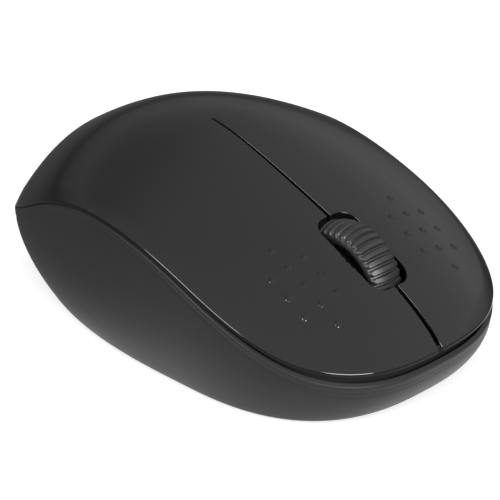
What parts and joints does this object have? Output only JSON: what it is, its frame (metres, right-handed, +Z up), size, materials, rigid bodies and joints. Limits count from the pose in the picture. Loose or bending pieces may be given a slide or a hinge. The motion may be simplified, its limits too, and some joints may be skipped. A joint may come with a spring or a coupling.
{
  "type": "computer mouse",
  "caption": "Cordless optical mouse: glossy domed cover split into two keys, ribbed scroll wheel in a slot, satin base, battery door and power switch below.",
  "frame": {"origin": "middle of the bounding box's bottom: the desk plane under the feet", "axes": "+Y forwards towards the nose and keys, +X to the user's right, +Z up"},
  "size_m": [0.0598, 0.0995, 0.0379],
  "materials": {
    "cover_gloss": "high gloss black",
    "base_satin": "satin black, fine spark-eroded texture",
    "tyre_rubber": "satin black rubber",
    "hub_plastic": "satin dark grey",
    "carrier_plastic": "satin dark grey",
    "foot_plastic": "smooth dark grey, low friction",
    "board_laminate": "green solder mask",
    "chip_plastic": "moulded black epoxy",
    "switch_plastic": "moulded black",
    "plunger_plastic": "white",
    "contact_metal": "nickel plated",
    "steel": "zinc plated",
    "can_metal": "bright",
    "cell_jacket": "plain printed jacket, no lettering",
    "lens_clear": "clear moulded optic",
    "led_red": "tinted epoxy",
    "knob_plastic": "mid grey"
  },
  "bodies": {
    "body": {"palm_cover": "cover_gloss", "base_shell": "base_satin", "battery_left": "cell_jacket", "battery_right": "cell_jacket", "battery_springs": "contact_metal", "front_contact_positive": "contact_metal", "front_contact_negative": "contact_metal", "rear_contact_plate": "contact_metal", "circuit_board": "board_laminate", "board_screws": "steel", "case_screws": "steel", "right_switch": "switch_plastic", "left_switch": "switch_plastic", "middle_switch": "can_metal", "sensor_ic": "chip_plastic", "sensor_lens": "lens_clear", "sensor_led": "led_red", "led_clip": "switch_plastic", "encoder_emitter": "lens_clear", "encoder_detector": "chip_plastic", "power_switch": "can_metal", "capacitors": "can_metal", "carrier_bracket": "carrier_plastic", "control_ic": "chip_plastic", "radio_ic": "chip_plastic", "crystal": "can_metal", "foot_front_left": "foot_plastic", "foot_front_right": "foot_plastic", "foot_rear_left": "foot_plastic", "foot_rear_right": "foot_plastic"},
    "left_key": {"left_button": "cover_gloss"},
    "right_key": {"right_button": "cover_gloss"},
    "left_plunger": {"left_switch_plunger": "plunger_plastic"},
    "right_plunger": {"right_switch_plunger": "plunger_plastic"},
    "middle_plunger": {"middle_switch_plunger": "plunger_plastic"},
    "carrier": {"wheel_carrier": "carrier_plastic"},
    "wheel": {"wheel_tyre": "tyre_rubber", "wheel_hub": "hub_plastic"},
    "door": {"battery_door": "base_satin"},
    "power_slider": {"power_knob": "knob_plastic", "power_lever": "switch_plastic"}
  },
  "joints": [
    {"name": "left_key_hinge", "type": "hinge", "parent": "body", "child": "left_key", "pos_m": [0, -0.0064, 0.032], "axis": [-1, 0, 0], "range_deg": [0, 0.8], "stiffness_Nm_per_rad": 1.2, "springref_deg": -0.57},
    {"name": "right_key_hinge", "type": "hinge", "parent": "body", "child": "right_key", "pos_m": [0, -0.0064, 0.032], "axis": [-1, 0, 0], "range_deg": [0, 0.8], "stiffness_Nm_per_rad": 1.2, "springref_deg": -0.57},
    {"name": "left_plunger_slide", "type": "slide", "parent": "body", "child": "left_plunger", "axis": [0, 0, -1], "range_m": [0, 0.00055]},
    {"name": "right_plunger_slide", "type": "slide", "parent": "body", "child": "right_plunger", "axis": [0, 0, -1], "range_m": [0, 0.00055]},
    {"name": "wheel_press_hinge", "type": "hinge", "parent": "body", "child": "carrier", "pos_m": [0, 0.042, 0.0114], "axis": [1, 0, 0], "range_deg": [0, 1.15], "stiffness_Nm_per_rad": 0.55, "springref_deg": -0.57},
    {"name": "middle_plunger_slide", "type": "slide", "parent": "body", "child": "middle_plunger", "axis": [0, 0, -1], "range_m": [0, 0.00055]},
    {"name": "wheel_spin", "type": "hinge", "parent": "carrier", "child": "wheel", "pos_m": [0, 0.0282, 0.0165], "axis": [1, 0, 0], "continuous": true},
    {"name": "battery_door_slide", "type": "slide", "parent": "body", "child": "door", "axis": [0, -1, 0], "range_m": [0, 0.046]},
    {"name": "power_switch_slide", "type": "slide", "parent": "body", "child": "power_slider", "axis": [0, 1, 0], "range_m": [0, 0.0025]}
  ],
  "couplings": [
    {"joint": "left_plunger_slide", "follows": "left_key_hinge", "m_per_rad": 0.0364},
    {"joint": "right_plunger_slide", "follows": "right_key_hinge", "m_per_rad": 0.0364},
    {"joint": "middle_plunger_slide", "follows": "wheel_press_hinge", "m_per_rad": 0.0248}
  ]
}
